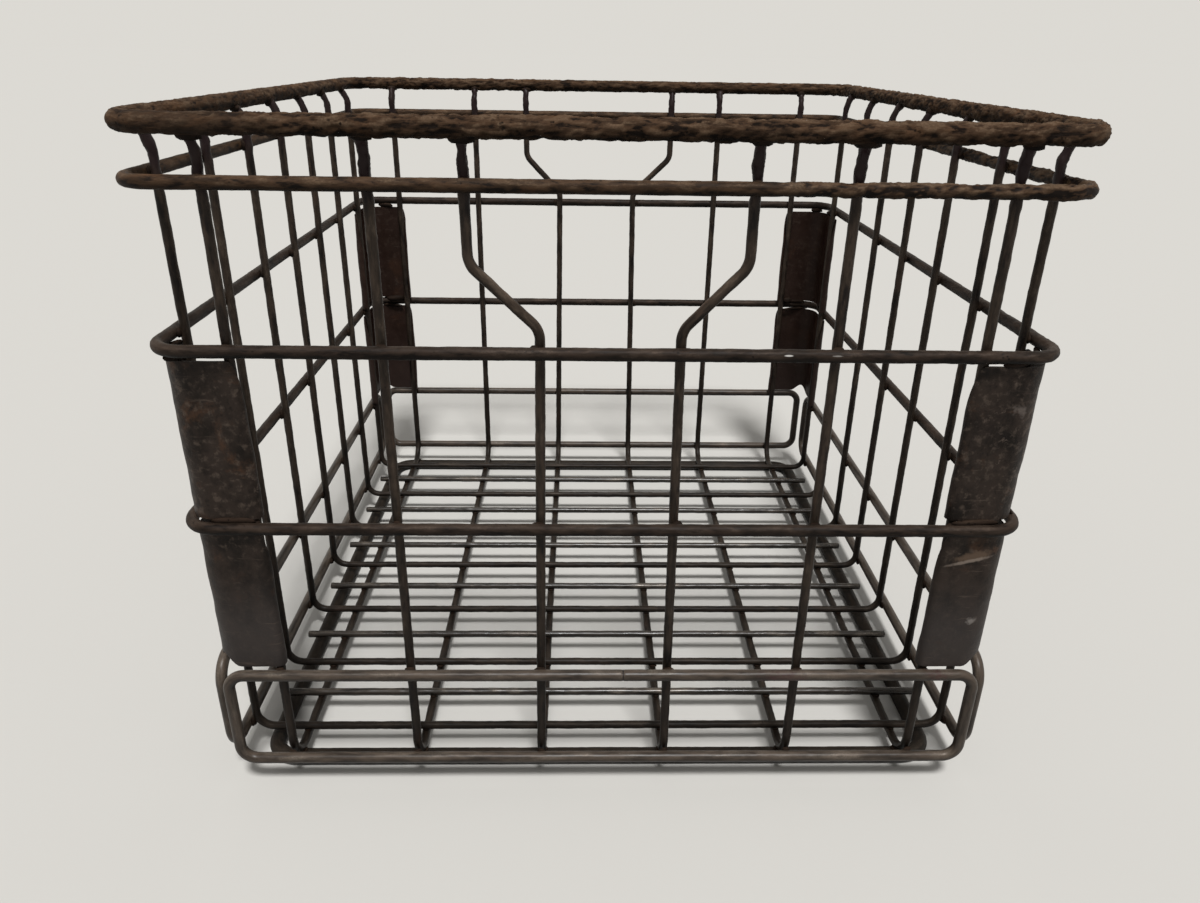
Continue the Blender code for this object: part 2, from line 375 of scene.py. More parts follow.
def noise(tree, place, **settings):
    return addNode(tree, "TexNoise", {"Vector": place, **settings}).outputs["Fac"]


# adds to a value a share of each of the others
def addShares(tree, value, *others):
    for other, share in others:
        value = maths(tree, "MULTIPLY_ADD", other, share, value)
    return value


def ramp(tree, value, low, high, bottom=0.0, top=1.0):
    node = addNode(tree, "MapRange", {"Value": value, "From Min": low, "From Max": high,
                                      "To Min": bottom, "To Max": top}, interpolation_type="SMOOTHSTEP")
    return node.outputs["Result"]


# noise drawn out along the bar, as drawn and rolled steel shows it
def makeGrain():
    group, take, give = startGroup(
        "drawnGrain", (("Squeeze", "Vector", (0.2, 1, 1)), ("Scale", "Float", 400.0)), ("Grain", "Fleck"))
    squeezed = vectors(group, "MULTIPLY", take["Place"], take["Squeeze"])
    long = noise(group, squeezed, Scale=take["Scale"], Detail=5.0, Roughness=0.62)
    fleck = noise(group, take["Place"], Scale=1400.0, Detail=3.0, Roughness=0.7)
    group.links.new(long, give["Grain"])
    group.links.new(fleck, give["Fleck"])
    return group


# patches of rust with a ragged edge
def makeBloom():
    group, take, give = startGroup(
        "rustBloom", (("Scale", "Float", 60.0), ("Spread", "Float", 0.5), ("Softness", "Float", 0.12)),
        ("Bloom",))
    patch = noise(group, take["Place"], Scale=take["Scale"], Detail=8.0, Roughness=0.68, Distortion=0.4)
    low = maths(group, "SUBTRACT", 1.0, take["Spread"])
    high = maths(group, "ADD", low, take["Softness"])
    group.links.new(ramp(group, patch, low, high), give["Bloom"])
    return group


# small round pits
def makePits():
    group, take, give = startGroup(
        "rustPits", (("Scale", "Float", 700.0), ("Share", "Float", 0.3)), ("Pit",))
    cells = addNode(group, "TexVoronoi", {"Vector": take["Place"], "Scale": take["Scale"],
                                          "Randomness": 1.0})
    where = noise(group, take["Place"], Scale=180.0, Detail=3.0)
    dish = ramp(group, cells.outputs["Distance"], 0.1, 0.42, 1.0, 0.0)
    low = maths(group, "SUBTRACT", 1.0, take["Share"])
    high = maths(group, "ADD", low, 0.1)
    pit = maths(group, "MULTIPLY", dish, ramp(group, where, low, high))
    group.links.new(pit, give["Pit"])
    return group


# one soft-edged mark at a given place, broken up by fine streaks
def makeSmear():
    group, take, give = startGroup(
        "smear", (("Middle", "Vector", (0, 0, 0)), ("Reach", "Vector", (1, 1, 1)),
                  ("Slant", "Float", 0.0), ("Break", "Float", 0.5)), ("Smear",))
    away = vectors(group, "SUBTRACT", take["Place"], take["Middle"])
    parts = addNode(group, "SeparateXYZ", {0: away}).outputs
    climb = maths(group, "MULTIPLY", parts["X"], take["Slant"])
    level = maths(group, "SUBTRACT", parts["Z"], climb)
    away = addNode(group, "CombineXYZ", {"X": parts["X"], "Y": parts["Y"], "Z": level}).outputs[0]
    away = vectors(group, "DIVIDE", away, take["Reach"])
    far = vectors(group, "LENGTH", away, result="Value")
    streak = noise(group, take["Place"], Scale=480.0, Detail=4.0, Roughness=0.65)
    ragged = maths(group, "MULTIPLY_ADD", streak, take["Break"], far)
    group.links.new(ramp(group, ragged, 1.15, 0.65), give["Smear"])
    return group


grainGroup, bloomGroup, pitGroup, smearGroup = makeGrain(), makeBloom(), makePits(), makeSmear()


def useGroup(tree, group, **values):
    return addNode(tree, "Group", values, node_tree=group).outputs


def rgb(red, green, blue):
    return (red, green, blue, 1.0)


# black oxide, brown oxide, rust and rubbed metal, mixed by grain, bloom, the height of the crust and, as
# painted light and shade, by which way the surface faces
barSteel = {
    "rim": {"black": rgb(0.011, 0.007, 0.005), "brown": rgb(0.058, 0.033, 0.019),
            "rust": rgb(0.092, 0.050, 0.027), "rubbed": rgb(0.145, 0.096, 0.061),
            "patch": 520.0, "contrast": 5.0, "relief": 0.5, "bloom": 0.47, "pits": 0.46, "rubbing": 0.80,
            "shine": 0.07, "rough": 0.80, "grainDepth": 0.00034},
    "band": {"black": rgb(0.010, 0.006, 0.004), "brown": rgb(0.056, 0.032, 0.018),
             "rust": rgb(0.084, 0.043, 0.022), "rubbed": rgb(0.138, 0.092, 0.058),
             "patch": 480.0, "contrast": 4.6, "relief": 1.1, "bloom": 0.44, "pits": 0.40, "rubbing": 0.65,
             "shine": 0.09, "rough": 0.60, "grainDepth": 0.00016},
    "lowBand": {"black": rgb(0.005, 0.0034, 0.0026), "brown": rgb(0.026, 0.0172, 0.0124),
                "rust": rgb(0.040, 0.0235, 0.0156), "rubbed": rgb(0.080, 0.058, 0.044),
                "patch": 300.0, "contrast": 4.0, "relief": 0.8, "bloom": 0.42, "pits": 0.38, "rubbing": 0.55,
                "shine": 0.10, "rough": 0.52, "grainDepth": 0.00010},
    # the skirt loops: their pale rubbed colour, taken most on the tops, is partly a painted sheen
    "skirt": {"black": rgb(0.016, 0.011, 0.008), "brown": rgb(0.053, 0.039, 0.029),
              "rust": rgb(0.070, 0.044, 0.030), "rubbed": rgb(0.220, 0.182, 0.146),
              "patch": 170.0, "contrast": 3.4, "relief": 0.5, "bloom": 0.36, "pits": 0.34, "rubbing": 0.45,
              "shine": 0.25, "rough": 0.38, "grainDepth": 0.00006},
    # the nesting ring: its own dark oxide, darkened further as painted shade under the crate
    "nest": {"black": rgb(0.004, 0.003, 0.002), "brown": rgb(0.014, 0.010, 0.007),
             "rust": rgb(0.026, 0.016, 0.011), "rubbed": rgb(0.060, 0.046, 0.034),
             "patch": 200.0, "contrast": 3.4, "relief": 0.6, "bloom": 0.42, "pits": 0.40, "rubbing": 0.40,
             "shine": 0.14, "rough": 0.58, "grainDepth": 0.00012},
    "wire": {"black": rgb(0.009, 0.006, 0.005), "brown": rgb(0.040, 0.028, 0.020),
             "rust": rgb(0.064, 0.036, 0.024), "rubbed": rgb(0.160, 0.122, 0.092),
             "patch": 280.0, "contrast": 3.8, "relief": 0.5, "bloom": 0.42, "pits": 0.36, "rubbing": 0.50,
             "shine": 0.14, "rough": 0.44, "grainDepth": 0.00008, "soot": (0.248, 0.262)},
    # the floor rods: their colours are darkened as painted shade under the crate
    "rod": {"black": rgb(0.005, 0.004, 0.003), "brown": rgb(0.019, 0.014, 0.010),
            "rust": rgb(0.034, 0.021, 0.015), "rubbed": rgb(0.230, 0.192, 0.154),
            "patch": 240.0, "contrast": 3.4, "relief": 0.4, "bloom": 0.34, "pits": 0.30, "rubbing": 0.50,
            "shine": 0.42, "rough": 0.28, "grainDepth": 0.00004},
    "weld": {"black": rgb(0.005, 0.003, 0.002), "brown": rgb(0.020, 0.012, 0.008),
             "rust": rgb(0.042, 0.024, 0.015), "rubbed": rgb(0.080, 0.056, 0.038),
             "patch": 320.0, "contrast": 3.0, "relief": 0.0, "bloom": 0.40, "pits": 0.50, "rubbing": 0.30,
             "shine": 0.08, "rough": 0.72, "grainDepth": 0.00016, "loose": True},
}
# marks on single bars: a darker stretch of the rim, red tints and the butt weld on the front loop, and two
# nicks of pale paint on a band
barMarks = {
    "rimSteel": (
        {"shape": {"Middle": (-0.132, -0.166, 0.2755), "Reach": (0.058, 0.020, 0.020), "Break": 0.9},
         "colour": rgb(0.022, 0.015, 0.011), "strength": 0.50},),
    "skirtSteel": (
        {"shape": {"Middle": (0.0750, -0.168, 0.0594), "Reach": (0.026, 0.008, 0.006), "Break": 1.1},
         "colour": rgb(0.046, 0.019, 0.019), "strength": 0.75},
        {"shape": {"Middle": (0.1400, -0.168, 0.0600), "Reach": (0.013, 0.008, 0.005), "Break": 1.1},
         "colour": rgb(0.046, 0.017, 0.016), "strength": 0.75},
        {"shape": {"Middle": (0.0078, -0.168, 0.0594), "Reach": (0.00045, 0.006, 0.006), "Break": 0.3},
         "colour": rgb(0.010, 0.007, 0.006), "strength": 1.0}),
    "lowBandSteel": (
        {"shape": {"Middle": (0.0627, -0.1700, 0.2010), "Reach": (0.0021, 0.0040, 0.0004), "Break": 0.4},
         "colour": rgb(0.60, 0.58, 0.55), "strength": 0.8},
        {"shape": {"Middle": (0.0800, -0.1700, 0.2010), "Reach": (0.0028, 0.0040, 0.0004), "Break": 0.6},
         "colour": rgb(0.36, 0.34, 0.32), "strength": 0.5}),
}


def addMarks(tree, place, colour, marks):
    for mark in marks:
        smear = useGroup(tree, smearGroup, Place=place, **mark["shape"])
        faint = maths(tree, "MULTIPLY", smear["Smear"], mark["strength"])
        colour = mixColour(tree, faint, colour, mark["colour"])
    return colour


def startSteel(name, look):
    steel = bpy.data.materials.new(name)
    steel.use_nodes = True
    tree = steel.node_tree
    shader = tree.nodes["Principled BSDF"]
    shader.inputs["Specular IOR Level"].default_value = look["shine"]
    return steel, tree, addNode(tree, "TexCoord").outputs["Object"]


def finishSteel(tree, colour, rough, metal, relief, depth):
    shader = tree.nodes["Principled BSDF"]
    bump = addNode(tree, "Bump", {"Height": relief, "Strength": 1.0, "Distance": depth})
    for label, source in (("Base Color", colour), ("Roughness", rough), ("Metallic", metal),
                          ("Normal", bump.outputs["Normal"])):
        tree.links.new(source, shader.inputs[label])


def attribute(tree, name, kind="Fac"):
    return addNode(tree, "Attribute", attribute_name=name).outputs[kind]


# from where to where each effect sets in, and how much of it is taken
barWear = {"drawn": (0.35, 1.0, 1.0), "paintedTopLight": 0.25, "brown": (-0.75, 0.05), "rust": 0.7,
           "stain": rgb(0.62, 0.56, 0.54), "fine": (0.36, 0.62, 0.55, 1.25),
           "fleck": (0.38, 0.66, 0.45, 1.0), "rubbed": (0.10, 0.85), "dark": (-0.50, -1.10),
           "under": (-0.9, 0.9, 0.22, 1.16), "floor": (0.01, 0.17, 0.42, 1.0),
           "sootColour": rgb(0.014, 0.007, 0.008), "sootTop": 0.85, "roughGrain": 0.34, "roughRust": 0.16,
           "metal": 0.5, "pitRelief": -0.7, "barkRelief": 1.6, "fleckRelief": 0.35}


def makeBarSteel(name, look):
    steel, tree, where = startSteel(name, look)
    place = where if "loose" in look else attribute(tree, "lengthwise", "Vector")
    crust = attribute(tree, "crust")
    drawn = vectors(tree, "MULTIPLY", place, barWear["drawn"])
    upside = attribute(tree, "upside")
    grain = useGroup(tree, grainGroup, Place=place, Squeeze=(0.16, 1, 1), Scale=420.0)
    bark = useGroup(tree, grainGroup, Place=place, Squeeze=(0.26, 1, 1), Scale=look["patch"])
    bloom = useGroup(tree, bloomGroup, Place=drawn, Scale=120.0, Spread=look["bloom"], Softness=0.14)
    stains = useGroup(tree, bloomGroup, Place=place, Scale=26.0, Spread=0.46, Softness=0.2)
    pits = useGroup(tree, pitGroup, Place=place, Scale=640.0, Share=look["pits"])
    # wear and painted light: grain and crust give the real wear, while the tops of the bars take more of the
    # pale rubbed colour and the undersides more of the black
    worn = addShares(tree, -look["contrast"] / 2, (bark["Grain"], look["contrast"]),
                     (crust, look["relief"]), (upside, barWear["paintedTopLight"]))
    colour = mixColour(tree, ramp(tree, worn, *barWear["brown"]), look["black"], look["brown"])
    rusty = maths(tree, "MULTIPLY", bloom["Bloom"], barWear["rust"])
    colour = mixColour(tree, rusty, colour, look["rust"])
    colour = mixColour(tree, stains["Bloom"], colour, barWear["stain"], "MULTIPLY")
    fine = ramp(tree, grain["Grain"], *barWear["fine"])
    colour = mixColour(tree, 1.0, colour, fine, "MULTIPLY")
    fleck = ramp(tree, grain["Fleck"], *barWear["fleck"])
    rubbed = ramp(tree, worn, *barWear["rubbed"], 0.0, look["rubbing"])
    rubbed = maths(tree, "MULTIPLY", rubbed, fleck)
    colour = mixColour(tree, rubbed, colour, look["rubbed"])
    dark = ramp(tree, worn, *barWear["dark"])
    dark = maths(tree, "MAXIMUM", dark, pits["Pit"])
    colour = mixColour(tree, dark, colour, look["black"])
    under = ramp(tree, upside, *barWear["under"])       # painted shade: the undersides of the bars are darkened and their tops lightened
    colour = mixColour(tree, 1.0, colour, under, "MULTIPLY")
    if "soot" in look:                      # painted shade darkens the wires towards the floor, under the crate; they are blackest at the rim
        height = addNode(tree, "SeparateXYZ", {0: where}).outputs["Z"]
        colour = mixColour(tree, 1.0, colour, ramp(tree, height, *barWear["floor"]), "MULTIPLY")
        soot = ramp(tree, height, *look["soot"], 0.0, barWear["sootTop"])
        colour = mixColour(tree, soot, colour, barWear["sootColour"])
    colour = addMarks(tree, where, colour, barMarks.get(name, ()))
    rough = addShares(tree, look["rough"] - barWear["roughGrain"] / 2,
                      (grain["Grain"], barWear["roughGrain"]),
                      (bloom["Bloom"], barWear["roughRust"]))
    metal = maths(tree, "MULTIPLY", rubbed, barWear["metal"])
    relief = addShares(tree, grain["Grain"], (pits["Pit"], barWear["pitRelief"]),
                       (bark["Grain"], barWear["barkRelief"]),
                       (grain["Fleck"], barWear["fleckRelief"]))
    finishSteel(tree, colour, rough, metal, relief, look["grainDepth"])
    return steel


plateLook = {"black": rgb(0.006, 0.004, 0.003), "slate": rgb(0.023, 0.016, 0.0125),
             "rust": rgb(0.054, 0.027, 0.015), "rubbed": rgb(0.120, 0.092, 0.074),
             "blue": rgb(0.040, 0.034, 0.032), "red": rgb(0.021, 0.009, 0.006),
             "shine": 0.12, "rough": 0.48, "grainDepth": 0.00012}
# marks that years of use left on the two front right plates
plateMarks = (
    {"shape": {"Middle": (0.1462, -0.166, 0.1165), "Reach": (0.0130, 0.012, 0.0040),
               "Slant": 0.27, "Break": 0.8},
     "colour": rgb(0.105, 0.070, 0.048), "strength": 0.70},
    {"shape": {"Middle": (0.1448, -0.166, 0.1144), "Reach": (0.0140, 0.012, 0.0014),
               "Slant": 0.27, "Break": 0.7},
     "colour": rgb(0.220, 0.180, 0.150), "strength": 0.60},
    {"shape": {"Middle": (0.1508, -0.166, 0.0860), "Reach": (0.0044, 0.012, 0.0036),
               "Slant": 0.1, "Break": 1.1},
     "colour": rgb(0.230, 0.210, 0.195), "strength": 0.60},
    {"shape": {"Middle": (0.1520, -0.166, 0.1790), "Reach": (0.0100, 0.012, 0.0060),
               "Slant": -0.3, "Break": 1.3},
     "colour": rgb(0.170, 0.145, 0.130), "strength": 0.40},
)


# the first two run with the depth of the crate, the next four with the height over the ground
plateWear = {"rearward": (0.0, 0.1, 0.0, 0.65), "frontward": (0.1, 0.0, 0.3, 1.0),
             "blue": (0.112, 0.078, 0.0, 0.65), "rust": (0.075, 0.125, 0.25, 0.85),
             "scaly": (0.108, 0.124, 0.25, 1.0), "curly": (0.126, 0.136, 0.10, 0.55),
             "slate": (0.32, 0.62), "flake": (0.50, 0.72, 0.0, 0.48), "scratch": (0.62, 0.72, 0.0, 0.30),
             "sunk": (0.44, 0.30, 0.0, 0.7), "curl": (0.016, 0.004), "roughGrain": 0.30, "metal": 0.8,
             "flakeRelief": 1.2, "sunkRelief": -0.8}


def makePlateSteel(name, look):
    steel, tree, place = startSteel(name, look)
    level = useGroup(tree, grainGroup, Place=place, Squeeze=(1.0, 1.0, 0.7), Scale=110.0)
    scratch = useGroup(tree, grainGroup, Place=place, Squeeze=(0.10, 0.10, 1.0), Scale=700.0)
    bloom = useGroup(tree, bloomGroup, Place=place, Scale=60.0, Spread=0.46, Softness=0.16)
    scale = useGroup(tree, grainGroup, Place=place, Squeeze=(1.0, 1.0, 1.0), Scale=300.0)
    pits = useGroup(tree, pitGroup, Place=place, Scale=620.0, Share=0.30)
    parts = addNode(tree, "SeparateXYZ", {0: place}).outputs
    height = parts["Z"]
    rearward = ramp(tree, parts["Y"], *plateWear["rearward"])
    frontward = ramp(tree, parts["Y"], *plateWear["frontward"])
    slate = ramp(tree, level["Grain"], *plateWear["slate"])
    colour = mixColour(tree, slate, look["black"], look["slate"])
    colour = mixColour(tree, ramp(tree, height, *plateWear["blue"]), colour, look["blue"])
    rusty = ramp(tree, height, *plateWear["rust"])
    rusty = maths(tree, "MULTIPLY", rusty, bloom["Bloom"])
    colour = mixColour(tree, rusty, colour, look["rust"])
    colour = mixColour(tree, rearward, colour, look["red"])         # the rear plates are the reddest
    scaly = maths(tree, "MULTIPLY", ramp(tree, height, *plateWear["scaly"]), frontward)
    flake = ramp(tree, scale["Grain"], *plateWear["flake"])
    flake = maths(tree, "MULTIPLY", flake, scaly)
    line = ramp(tree, scratch["Grain"], *plateWear["scratch"])
    rubbed = maths(tree, "MAXIMUM", flake, line)
    colour = mixColour(tree, rubbed, colour, look["rubbed"])
    sunk = ramp(tree, scale["Grain"], *plateWear["sunk"])
    sunk = maths(tree, "MULTIPLY", sunk, scaly)
    sunk = maths(tree, "MAXIMUM", sunk, pits["Pit"])
    colour = mixColour(tree, sunk, colour, look["black"])
    curl = useGroup(tree, grainGroup, Place=place, Squeeze=(1.0, 1.0, 1.0), Scale=150.0)
    off = maths(tree, "SUBTRACT", curl["Grain"], 0.5)
    off = maths(tree, "ABSOLUTE", off)
    where = useGroup(tree, bloomGroup, Place=place, Scale=85.0, Spread=0.44, Softness=0.08)
    high = maths(tree, "MULTIPLY", ramp(tree, height, *plateWear["curly"]), frontward)
    curly = maths(tree, "MULTIPLY", ramp(tree, off, *plateWear["curl"]), where["Bloom"])
    curly = maths(tree, "MULTIPLY", curly, high)
    colour = mixColour(tree, curly, colour, look["rubbed"])
    colour = addMarks(tree, place, colour, plateMarks)
    rough = addShares(tree, look["rough"] - plateWear["roughGrain"] / 2,
                      (level["Grain"], plateWear["roughGrain"]))
    metal = maths(tree, "MULTIPLY", rubbed, plateWear["metal"])
    relief = addShares(tree, level["Fleck"], (flake, plateWear["flakeRelief"]),
                       (sunk, plateWear["sunkRelief"]))
    finishSteel(tree, colour, rough, metal, relief, look["grainDepth"])
    return steel


steels = {kind: makeBarSteel(kind + "Steel", look) for kind, look in barSteel.items()}
steels["plate"] = makePlateSteel("plateSteel", plateLook)
print("materials mixed")

rollRing("topRim", rimLook, rimLook["height"], steels["rim"], "rim_steel", "top_rim", barNumbers["rim"])
for number, (level, height) in enumerate(bandHeights.items()):
    rollRing(level + "Band", {**bandLook, "spans": bandSpans[level]}, height,
             steels["band" if level == "upper" else "lowBand"], "band_steel", level + "_band",
             barNumbers["band"] + number)
rollRing("nestingRing", nestLook, nestLook["height"], steels["nest"], "rim_steel", "nesting_ring",
         barNumbers["nest"])
print("rim, bands and nesting ring rolled")

for number, (wall, loop, turn, side) in enumerate((
        ("front", endLoop, 0, -1), ("rear", endLoop, math.pi, 1),
        ("left", sideLoop, -math.pi / 2, -1), ("right", sideLoop, math.pi / 2, 1))):
    bar = loopBar(wall + "SkirtLoop", loop, barNumbers["loop"] + number)
    edit(bar)
    takeAll()
    bpy.ops.transform.rotate(value=-turn, orient_axis="Z", center_override=(0, 0, 0))
    step = (0, side * loop["plane"], 0) if loop is endLoop else (side * loop["plane"], 0, 0)
    bpy.ops.transform.translate(value=step)
    done()
    hang(bar, steels["skirt"], "band_steel", wall + "_skirt_loop")
print("skirt loops bent and welded shut")


# Wall wires

flare = {"angle": math.radians(36), "bend": 0.0140, "bite": 0.0008}
longLook = {"wire": 0.0038, "sides": 16, "step": 0.0008, "calm": 0.22, "ends": 0.030,
            "wall": 0.1636, "rimLine": 0.1691, "floor": 0.00815, "bend": 0.0140, "pitch": 0.05432,
            "opening": 0.02134, "rack": 0.0011, "lean": 0.0020,
            "lowStep": 0.2075, "highStep": 0.23084, "jogBend": 0.0080,
            "rust": (("SOFT_NOISE", 0.0042, 0.0011, 1.6, 1.5), ("HARD_NOISE", 0.0024, -0.0006, 1.8, 1.4))}
crossLook = {"wire": 0.0036, "sides": 16, "step": 0.0009, "calm": 0.22, "ends": 0.026,
             "wall": 0.1581, "rimLine": 0.1635, "floor": 0.01215, "bend": 0.0076,
             "first": -0.1448, "pitch": 0.0466, "rust": longLook["rust"]}
rodLook = {"wire": 0.0036, "sides": 16, "step": 0.0012, "calm": 0.20, "half": 0.1544, "height": 0.01215,
           "rust": longLook["rust"]}
longPlaces = [(number - 2.5) * longLook["pitch"] for number in range(6)]
crossPlaces = [crossLook["first"] + number * crossLook["pitch"] for number in range(7)]


# corners of a U-wire on the plane Y-Z from one rim joint to the other; hand is the side to which it is
# stepped round the hand holes, 0 for a plain one
def wireCorners(look, hand=0):
    run = look["rimLine"] - look["wall"]
    corners = []
    for side in (1, -1):
        shift = hand * look["opening"] + side * look["rack"] if hand else 0
        aim = Vector((shift, side * look["rimLine"], rimLook["height"]))
        foot = Vector((shift, side * look["wall"], rimLook["height"] - run / math.tan(flare["angle"])))
        end = aim + (foot - aim).normalized() * (rimLook["wire"] / 2 - flare["bite"])
        half = [(end, 0), (foot, flare["bend"])]
        if hand:
            half += [(Vector((shift, side * look["wall"], look["highStep"])), look["jogBend"]),
                     (Vector((-hand * look["lean"], side * look["wall"], look["lowStep"])), look["jogBend"])]
        half.append((Vector((0, side * look["wall"], look["floor"])), look["bend"]))
        corners += half[::side]
    return corners


def wallWire(name, blank, path, look, number, turn, spot, node):
    wire = copyOf(blank, name)
    eatRust(wire, look, number)
    bendBar(wire, path)
    edit(wire)
    takeAll()
    if turn:
        bpy.ops.transform.rotate(value=-turn, orient_axis="Z", center_override=(0, 0, 0))
    bpy.ops.transform.translate(value=spot)
    done()
    hang(wire, steels["wire"], "wall_wire_steel", node)


plainPath = drawPath(wireCorners(longLook))
plainBlank = cutBar("longBlank", longLook, plainPath.data.splines[0].calc_length())
jogPaths = {hand: drawPath(wireCorners(longLook, hand)) for hand in (-1, 1)}
jogBlank = cutBar("jogBlank", longLook, jogPaths[1].data.splines[0].calc_length())
for number, place in enumerate(longPlaces):
    jogged = abs(place) < longLook["pitch"]
    path, blank = (jogPaths[1 if place > 0 else -1], jogBlank) if jogged else (plainPath, plainBlank)
    wallWire(f"longWire{number + 1}", blank, path, longLook, barNumbers["long"] + number, 0,
             (place, 0, 0), f"long_wire_{number + 1}")
throwAway(plainPath, plainBlank, jogBlank, *jogPaths.values())
print("long wires bent, the middle two stepped round the hand holes")

crossPath = drawPath(wireCorners(crossLook))
crossBlank = cutBar("crossBlank", crossLook, crossPath.data.splines[0].calc_length())
for number, place in enumerate(crossPlaces):
    wallWire(f"crossWire{number + 1}", crossBlank, crossPath, crossLook, barNumbers["cross"] + number,
             math.pi / 2, (0, place, 0), f"cross_wire_{number + 1}")
throwAway(crossPath, crossBlank)

rodBlank = cutBar("rodBlank", rodLook, 2 * rodLook["half"])
for number in range(len(crossPlaces) - 1):
    rod = copyOf(rodBlank, f"floorRod{number + 1}")
    eatRust(rod, rodLook, barNumbers["rod"] + number)
    place = crossLook["first"] + (number + 0.5) * crossLook["pitch"]
    putAt(rod, (-rodLook["half"], place, rodLook["height"]))
    hang(rod, steels["rod"], "floor_rod_steel", f"floor_rod_{number + 1}")
throwAway(rodBlank)
print("cross wires and floor rods laid")


# Corner plates: one flat leg, spun round the corner, with both upright edges spun round a wire

plateShape = {"sheet": 0.0008, "offset": 0.0020, "bend": 0.0100, "knee": 12,
              "wrap": math.radians(120), "turns": 10, "cutback": 0.0220, "relief": 0.0050,
              "longX": 0.0268, "longY": 0.0046, "crossX": 0.0045, "grid": 0.0012, "halvings": 6,
              "frontInset": 0.0234, "rearInset": 0.0334,
              "stiff": 0.0194, "ease": 0.004, "dents": ((0.030, 0.0016), (0.007, 0.0004)),
              "levels": {"lower": (0.0628, 0.1263), "upper": (0.1326, 0.1960)}}


# moves the points that stand near a place, above or below the middle of the sheet, up or down
def nudge(sheet, x, y, middle, above, rise):
    pick(sheet, "VERT", lambda vert: math.hypot(vert.co.x - x, vert.co.y - y) < 1e-4
         and (vert.co.z > middle) == above)
    bpy.ops.transform.translate(value=(0, 0, rise))


def foldSheet(name, inset, relief):
    shape = plateShape
    bottom, top = shape["levels"]["upper"]
    middle = (bottom + top) / 2
    offset, bend = shape["offset"], shape["bend"]
    knee = offset + bend
    letGo()
    bpy.ops.mesh.primitive_plane_add(size=1, location=((knee + shape["longX"]) / 2, offset, middle),
                                     rotation=(math.pi / 2, 0, 0))
    sheet = bpy.context.object
    sheet.name = sheet.data.name = name
    sheet.scale = (shape["longX"] - knee, top - bottom, 1)
    settle()
    edit(sheet)

    def upright(edge, x, y):
        return all(math.hypot(vert.co.x - x, vert.co.y - y) < 1e-5 for vert in edge.verts)

    pick(sheet, "EDGE", lambda edge: upright(edge, knee, offset))
    bpy.ops.mesh.spin(steps=shape["knee"], angle=math.pi / 2, center=(knee, knee, 0), axis=(0, 0, 1))
    bpy.ops.mesh.extrude_region_move(TRANSFORM_OT_translate={"value": (0, inset - knee, 0)})
    pick(sheet, "EDGE", lambda edge: upright(edge, offset, inset))
    bpy.ops.mesh.spin(steps=shape["turns"], angle=shape["wrap"], center=(shape["crossX"], inset, 0),
                      axis=(0, 0, 1))
    pick(sheet, "EDGE", lambda edge: upright(edge, shape["longX"], offset))
    bpy.ops.mesh.spin(steps=shape["turns"], angle=shape["wrap"], center=(shape["longX"], shape["longY"], 0),
                      axis=(0, 0, -1))
    for step in range(1, shape["turns"] + 1):    # the rolls' upper corners are cut off in a curve
        share = step / shape["turns"]
        turn = shape["wrap"] * share
        drop = -shape["cutback"] * share ** 2
        reach = shape["longY"] - offset
        nudge(sheet, shape["longX"] + reach * math.sin(turn), shape["longY"] - reach * math.cos(turn),
              middle, True, drop)
        reach = shape["crossX"] - offset
        nudge(sheet, shape["crossX"] - reach * math.cos(turn), inset + reach * math.sin(turn),
              middle, True, drop)
    for step in range(1, shape["knee"]):         # and the foot rises round the bend
        turn = math.pi / 2 * step / shape["knee"]
        nudge(sheet, knee - bend * math.cos(turn), knee - bend * math.sin(turn),
              middle, False, relief * math.sin(2 * turn) ** 2)

    def coarse(edge, axis):
        spans = [abs(near - far) for near, far in zip(edge.verts[0].co, edge.verts[1].co)]
        return spans.pop(axis) > shape["grid"] and max(spans) < 1e-5

    for axis in (2, 0, 1):                       # an even grid, so that the sheet can take dents
        for _ in range(shape["halvings"]):
            pick(sheet, "EDGE", lambda edge: coarse(edge, axis))
            bpy.ops.mesh.subdivide(number_cuts=1)
    takeAll()
    bpy.ops.mesh.remove_doubles(threshold=0.00001)
    done()
    return sheet


def platePiece(sheet, wall, side, level):
    shape = plateShape
    bottom = shape["levels"][level][0]
    inwardX, inwardY = (1 if side == "left" else -1), (1 if wall == "front" else -1)
    plate = copyOf(sheet, f"cornerPlate{wall.title()}{side.title()}{level.title()}")
    edit(plate)
    takeAll()
    bpy.ops.transform.resize(value=(inwardX, inwardY, 1), center_override=(0, 0, 0))
    bpy.ops.transform.translate(value=(-inwardX * bandLook["halfWidth"], -inwardY * bandLook["halfDepth"],
                                       bottom - shape["levels"]["upper"][0]))
    bpy.ops.mesh.normals_make_consistent(inside=False)
    done()
    legs = plate.vertex_groups.new(name="legs")      # the dents leave the rolls alone
    limit = bandLook["halfWidth"] - shape["longX"] + shape["ease"], bandLook["halfDepth"] - shape["stiff"]
    for vert in plate.data.vertices:
        away = min(max(abs(vert.co.x) - limit[0], abs(vert.co.y) - limit[1]) / shape["ease"], 1)
        legs.add([vert.index], max(away, 0), "REPLACE")
    for size, depth in shape["dents"]:
        cloud = bpy.data.textures.new("dentCloud", "CLOUDS")
        cloud.noise_scale = size
        dents = plate.modifiers.new("dents", "DISPLACE")
        dents.texture = cloud
        dents.texture_coords = "LOCAL"
        dents.strength = depth
        dents.vertex_group = "legs"
    wallModifier = plate.modifiers.new("sheet", "SOLIDIFY")
    wallModifier.thickness = shape["sheet"]
    wallModifier.offset = 0
    wallModifier.use_even_offset = True
    applyAll(plate)
    plate.vertex_groups.clear()
    hang(plate, steels["plate"], "plate_steel", f"corner_plate_{wall}_{side}_{level}")


